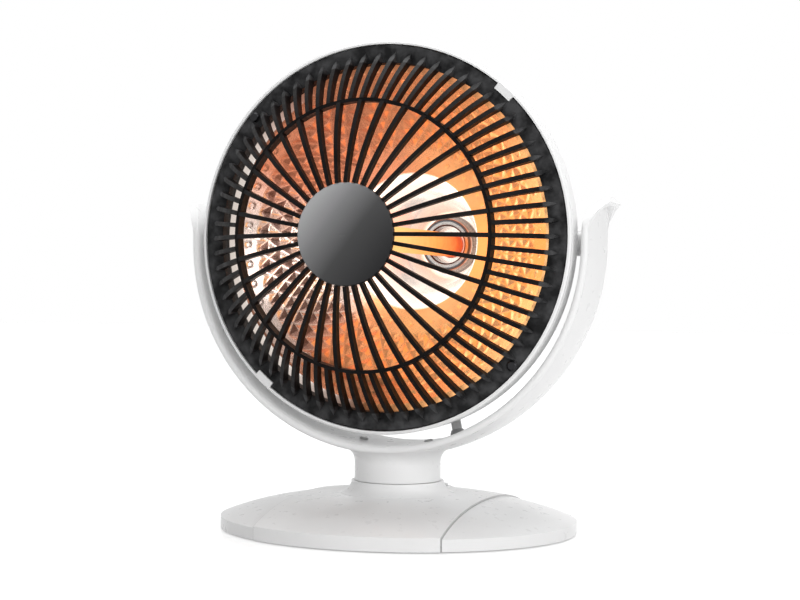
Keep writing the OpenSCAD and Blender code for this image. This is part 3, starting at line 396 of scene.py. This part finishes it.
def glow_painted_dish():
    """Hammered sheet with painted reflection and painted glow standing for the element's light:
    orange at the right and top, silvery at the left.

    Painted shade darkens its outer part at the lower left, and a painted highlight brightens its
    rim at the left. Its back is plain and doesn't glow.
    """
    finish = Finish("glow_painted_dish", Metallic=1.0)
    at = head_places(finish)
    clouds = finish.noise(60)

    def sector(degrees, cloudiness, most, start, end):
        uneven = finish.math("MULTIPLY", clouds, cloudiness)
        lean = finish.math("ADD", leaning(finish, at, degrees), uneven)
        return finish.spread(lean, 0, most, start, end)

    # Painted reflection of the element's glow: orange, brightest towards the right.
    painted_warm_reflection = finish.ramp(sector(-20, 0.5, 1, -0.55, 1.2), [
        (0, (0.68, 0.24, 0.13)),
        (0.4, (0.86, 0.33, 0.14)),
        (0.7, (0.95, 0.42, 0.16)),
        (1, (0.98, 0.52, 0.22)),
    ])
    # Painted reflection: silvery at the left.
    painted_silver_side = sector(195, 0.12, 1, 0.80, 1.0)
    left = finish.spread(leaning(finish, at, 190), 0, 1, 0.3, 0.75)
    outer = finish.spread(at.radius, 0, 1, 0.086, 0.092)
    # Painted shade: the outer part darkens at the lower left.
    painted_lower_left_shade = finish.math("MULTIPLY", sector(248, 0.1, 0.75, 0.90, 1.02), outer)
    # Painted shade: a dark band at the left, just inside the dish's mouth.
    painted_dark_band = finish.math("MULTIPLY", left, finish.spread(at.radius, 0, 1, 0.1026, 0.1030))
    rim = finish.spread(at.radius, 0, 1, 0.1038, 0.1042)
    front = front_side(finish, at)
    # Painted light and shade on the pyramids' faces, strongest on the silvery side.
    painted_facet_shades = painted_facet_shading(finish, at)
    painted_facet_shades = finish.blend(finish.spread(painted_silver_side, 0.65, 0, 0, 0.6), painted_facet_shades, (0.98, 0.98, 0.98, 1))

    painted_warm_reflection = finish.blend(painted_lower_left_shade, painted_warm_reflection, (0.12, 0.05, 0.035, 1))
    sheet = finish.blend(painted_silver_side, painted_warm_reflection, (0.90, 0.76, 0.69, 1))
    sheet = finish.blend(painted_dark_band, sheet, (0.35, 0.14, 0.08, 1))
    sheet = finish.blend(1.0, sheet, painted_facet_shades, "MULTIPLY")
    # Painted highlight on the rim: silver-white at the left, painted warm reflection elsewhere.
    sheet = finish.blend(rim, sheet, finish.blend(left, painted_warm_reflection, (0.93, 0.91, 0.89, 1)))
    finish.link("Base Color", finish.blend(front, PLAIN_SHEET, sheet))
    finish.link("Roughness", finish.spread(finish.noise(420), 0.18, 0.26))
    finish.bumps((finish.noise(900, 2), 0.000004))

    # Painted glow: the sheet emits light in the colours of its painted reflections, and none on its
    # back.
    glow = finish.blend(painted_silver_side, painted_warm_reflection, (0.27, 0.15, 0.10, 1))
    glow = finish.blend(painted_dark_band, glow, (0.12, 0.07, 0.05, 1))
    glow = finish.blend(1.0, glow, painted_facet_shades, "MULTIPLY")
    glow = finish.blend(rim, glow, finish.blend(left, painted_warm_reflection, (0.95, 0.84, 0.76, 1)))
    finish.link("Emission Color", glow)
    # Painted glow strength, stronger near the well than at the mouth, and on the rim at the left.
    heat = finish.spread(at.radius, 0.56, 0.34, 0.05, 0.1)
    painted_rim_glow = finish.math("MULTIPLY", rim, finish.spread(left, 0.4, 0.7, 0, 1))
    heat = finish.math("MAXIMUM", heat, painted_rim_glow)
    finish.link("Emission Strength", finish.math("MULTIPLY", front, heat))
    return finish


def glow_painted_well():
    """Polished sheet round the element, with painted glow standing for the element's light on it,
    almost white. Its back doesn't glow.
    """
    finish = Finish("glow_painted_well", Metallic=1.0)
    at = head_places(finish)
    front = front_side(finish, at)
    bright = finish.two_tone(finish.noise(50), (0.93, 0.87, 0.82), (0.98, 0.94, 0.90))
    finish.link("Base Color", finish.blend(front, PLAIN_SHEET, bright))
    finish.link("Roughness", finish.spread(finish.noise(300), 0.14, 0.22))
    # Painted glow: the sheet emits the element's light, almost white, warmer deeper in.
    finish.link("Emission Color", finish.ramp(finish.spread(at.depth, 0, 1, 0.058, 0.14), [
        (0, (0.95, 0.84, 0.74)),
        (0.6, (0.95, 0.86, 0.78)),
        (1, (0.9, 0.62, 0.48)),
    ]))
    finish.link("Emission Strength", finish.math("MULTIPLY", front, 0.6))
    finish.bumps((finish.noise(600, 2), 0.000008))
    return finish


def collar_chrome():
    """Polished pressed collar with painted reflections: its steps show bands of the bright well and
    the dark hub, painted by radius.
    """
    finish = Finish("collar_chrome", Metallic=1.0)
    uneven = finish.math("MULTIPLY", finish.noise(200, 2), 0.0004)
    reach = finish.math("ADD", head_places(finish).radius, uneven)
    marks = finish.noise(300)
    # Painted reflection: bright and dark rings by radius.
    finish.link("Base Color", finish.ramp(finish.spread(reach, 0, 1, 0.013, 0.0205), [
        (0.1, (0.02, 0.02, 0.022)),
        (0.2, (0.75, 0.68, 0.63)),
        (0.38, (0.85, 0.80, 0.76)),
        (0.46, (0.2, 0.2, 0.21)),
        (0.62, (0.10, 0.10, 0.105)),
        (0.74, (0.70, 0.56, 0.48)),
        (1, (0.42, 0.33, 0.28)),
    ]))
    finish.link("Roughness", finish.spread(marks, 0.12, 0.2))
    finish.bumps((marks, 0.00002))
    return finish


def hot_rod():
    """Ceramic at red heat: deep orange at its root, yellow at its free end."""
    finish = Finish("hot_rod", Roughness=0.6, Specular_IOR_Level=0.2)
    mottle = finish.math("MULTIPLY", finish.noise(180), 0.02)
    forward = finish.math("SUBTRACT", WELL_FLOOR, head_places(finish).depth)
    heat = finish.spread(finish.math("ADD", forward, mottle), 0, 1, 0.004, 0.125)
    clay = finish.two_tone(finish.noise(300), (0.3, 0.1, 0.04), (0.42, 0.17, 0.07))
    finish.link("Base Color", clay)
    finish.link("Emission Color", finish.ramp(heat, [
        (0, (0.68, 0.04, 0.01)),
        (0.14, (0.86, 0.12, 0.02)),
        (0.5, (0.94, 0.33, 0.05)),
        (1, (0.97, 0.62, 0.2)),
    ]))
    finish.shader.inputs["Emission Strength"].default_value = 0.95
    finish.bumps((finish.noise(900, 2), 0.00004))
    return finish


def dress_nodes(zinc):
    finishes = {
        guard_black(): ["grille"],
        hub_grey(): ["hub_cap"],
        white_plastic("white_gloss"): [
            "bezel_ring", "yoke_shell", "yoke_liner", "liner_screws", "rear_housing", "rear_cap",
            "switch_housing", "rocker"],
        white_foot(): ["base_centre_cover", "base_wing_left", "base_wing_right"],
        moulded("white_matt", (0.7, 0.7, 0.7), 0.5, grain=0.00003): ["base_plate"],
        moulded("grey_plastic", (0.55, 0.55, 0.56), 0.42, grain=0.00003): [
            "head_gland", "yoke_gland", "cord_gland", "pivot_bushes", "friction_washers",
            "thrust_washer", "tip_plunger"],
        moulded("black_plastic", (0.016, 0.016, 0.017), 0.36, grain=0.00003): ["tip_switch"],
        moulded("rubber", (0.028, 0.028, 0.029), 0.8, grain=0.00008, tone=0.1): ["rubber_feet"],
        moulded("ceramic", (0.82, 0.78, 0.7), 0.7, grain=0.00006, tone=0.05): [
            "ceramic_socket", "thermal_cutoff", "terminal_block"],
        zinc: [
            "housing_screws", "cap_screws", "pivot_pins", "swivel_spindle", "spindle_screws",
            "spindle_washer", "wave_washer", "swivel_nut", "base_screws", "socket_bracket"],
        metal("black_screw", (0.03, 0.03, 0.032), 0.32): ["grille_screws"],
        collar_chrome(): ["element_collar"],
        metal("cast_iron", (0.14, 0.14, 0.145), 0.6, scale=500, depth=0.0001): ["ballast_weight"],
        glow_painted_well(): ["reflector_well"],
        hot_rod(): ["ceramic_rod"],
    }
    for finish, names in finishes.items():
        finish.wear(*(nodes[name] for name in names))


# PIECES

def add_piece(name, vertices, faces, finish, slot):
    mesh = bpy.data.meshes.new(name)
    mesh.from_pydata(vertices, [], faces)
    mesh.validate()
    mesh.update()
    piece = bpy.data.objects.new(name, mesh)
    bpy.context.scene.collection.objects.link(piece)
    shade_smooth(piece)
    finish.wear(piece)
    return piece


def shade_smooth(piece):
    for face in piece.data.polygons:
        face.use_smooth = True


def mark_sharp(piece, degrees):
    """Edges above this angle stay crisp."""
    piece.data.set_sharp_from_angle(angle=math.radians(degrees))


def soften_nodes():
    """The CAD nodes' curved faces are shaded smooth, unless they bring normals of their own."""
    for node in nodes.values():
        if not node.data.has_custom_normals:
            shade_smooth(node)
            mark_sharp(node, 35)


def ring_faces(rows, columns):
    """Quads between rows of vertices that run round an axis."""
    return [
        (r * columns + c, r * columns + (c + 1) % columns,
         (r + 1) * columns + (c + 1) % columns, (r + 1) * columns + c)
        for r in range(rows - 1) for c in range(columns)
    ]


def dish_depth(radius):
    return DISH_DEPTH - CURVE * (radius ** 2 - WELL_R ** 2)


def hammering(turn, radius):
    """Height of the pressed pattern towards the front: pyramids, and rows of round dimples."""
    column = turn / (2 * math.pi) * REPEATS
    height = 0.0
    if PRESSED_FROM < radius < PRESSED_TO:
        row = (radius - PRESSED_FROM) / PRESSED_ROW
        ridge = min(abs(way % 1 - 0.5) * 2 for way in (column + row, column - row))
        fade = min(1, (radius - PRESSED_FROM) / FADE_IN, (PRESSED_TO - radius) / FADE_OUT)
        height += PYRAMID_HEIGHT * (ridge - 0.5) * fade
    # Dimples sit between two columns of pyramids and are a little shorter along the radius.
    for ring, size, depth in DIMPLES:
        across = ((column + 0.25) % 1 - 0.5) / REPEATS * 2 * math.pi * ring
        away = math.hypot(across, (radius - ring) * 1.3) / size
        if away < 1:
            height -= depth * (math.cos(math.pi * away) + 1) / 2
    return height


def add_dish(finish):
    """The front of the dish with its pressed pattern, then its flat rim and its smooth back."""
    columns, rows = 480, 86
    radii = [WELL_R + (MOUTH_R - WELL_R) * i / (rows - 1) for i in range(rows)]
    turns = [2 * math.pi * c / columns for c in range(columns)]
    vertices = []

    def place(radius, turn, depth):
        vertices.append((radius * math.cos(turn), RIM_Y + depth, AXIS_Z + radius * math.sin(turn)))

    for radius in radii:
        slope = 2 * CURVE * radius
        tilt = 1 / math.hypot(1, slope)
        for turn in turns:
            height = hammering(turn, radius)
            place(radius - height * slope * tilt, turn, dish_depth(radius) - height * tilt)
    # The flat rim starts this far outside the mouth, which keeps its inner edge crisp.
    crease = 0.0004
    behind = MOUTH_DEPTH + SHEET
    rim = [
        (MOUTH_R + crease, MOUTH_DEPTH), (RIM_R, MOUTH_DEPTH), (RIM_R, behind), (MOUTH_R, behind)]
    back = [(radius, dish_depth(radius) + SHEET) for radius in reversed(radii[:-6:6])]
    for radius, depth in rim + back:
        for turn in turns:
            place(radius, turn, depth)
    rings = len(vertices) // columns
    last = (rings - 1) * columns
    faces = ring_faces(rings, columns)
    faces += [(last + c, last + (c + 1) % columns, (c + 1) % columns, c) for c in range(columns)]
    dish = add_piece("hammered_dish", vertices, faces, finish, "reflector")
    mark_sharp(dish, 40)
    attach(dish, "head")
    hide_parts("reflector")


def tube(points, radii, sides):
    """Vertices and faces of a closed round tube along points."""
    vertices = []
    side = Vector((1, 0, 0))
    for i, (point, radius) in enumerate(zip(points, radii)):
        ahead = (points[min(i + 1, len(points) - 1)] - points[max(i - 1, 0)]).normalized()
        side = (side - ahead * side.dot(ahead)).normalized()
        other = ahead.cross(side)
        for k in range(sides):
            turn = 2 * math.pi * k / sides
            vertices.append(point + (side * math.cos(turn) + other * math.sin(turn)) * radius)
    last = (len(points) - 1) * sides
    faces = ring_faces(len(points), sides)
    faces += [tuple(reversed(range(sides))), tuple(range(last, last + sides))]
    return vertices, faces


def add_lead(finish):
    """The lead goes down from the bowl into the yoke, as one fixed tube; the real lead bends there
    as the head tilts.
    """
    # The middle of the bowl's gland, and the lead's way down. Its upper end is hidden in the bowl.
    start = Vector((0.0344, 0.0096, 0.0765))
    way = Vector((3.6, -3, -13)).normalized()
    hidden, length, radius, rounding = 0.0115, 0.0315, 0.00325, 0.0008
    steps = 40
    points = [start + way * (-hidden + length * i / steps) for i in range(steps + 1)]
    radii = [radius - (rounding if i in (0, steps) else 0) for i in range(steps + 1)]
    lead = add_piece("bending_lead", *tube(points, radii, 32), finish, "lead")
    mark_sharp(lead, 40)
    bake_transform(lead)
    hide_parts("flex_lead")


def add_spring(finish):
    """Coil round the tip-over plunger, at one fixed length; the real coil shortens as the plunger
    drops.
    """
    low, high = (corner.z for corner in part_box("plunger_spring"))
    centre = sum(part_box("plunger_spring"), Vector()) / 2
    wire, radius, turns, steps = 0.00045, 0.0035, 5, 160
    points = []
    for i in range(steps + 1):
        turn = 2 * math.pi * turns * i / steps
        height = low + wire + (high - low - 2 * wire) * i / steps
        across, along = radius * math.cos(turn), radius * math.sin(turn)
        points.append(Vector((centre.x + across, centre.y + along, height)))
    coil = add_piece("wound_spring", *tube(points, [wire] * (steps + 1), 10), finish, "steel")
    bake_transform(coil)
    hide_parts("plunger_spring")


bpy.context.scene.view_settings.view_transform = "Standard"
add_camera()
add_world()
add_floor()
for light in LIGHTS:
    add_area(*light)

soften_nodes()
zinc_plate = metal("zinc_plate", (0.58, 0.59, 0.61), 0.3)
dress_nodes(zinc_plate)
add_dish(glow_painted_dish())
add_lead(moulded("lead_sheath", (0.86, 0.86, 0.86), 0.4, grain=0.00001))
add_spring(zinc_plate)
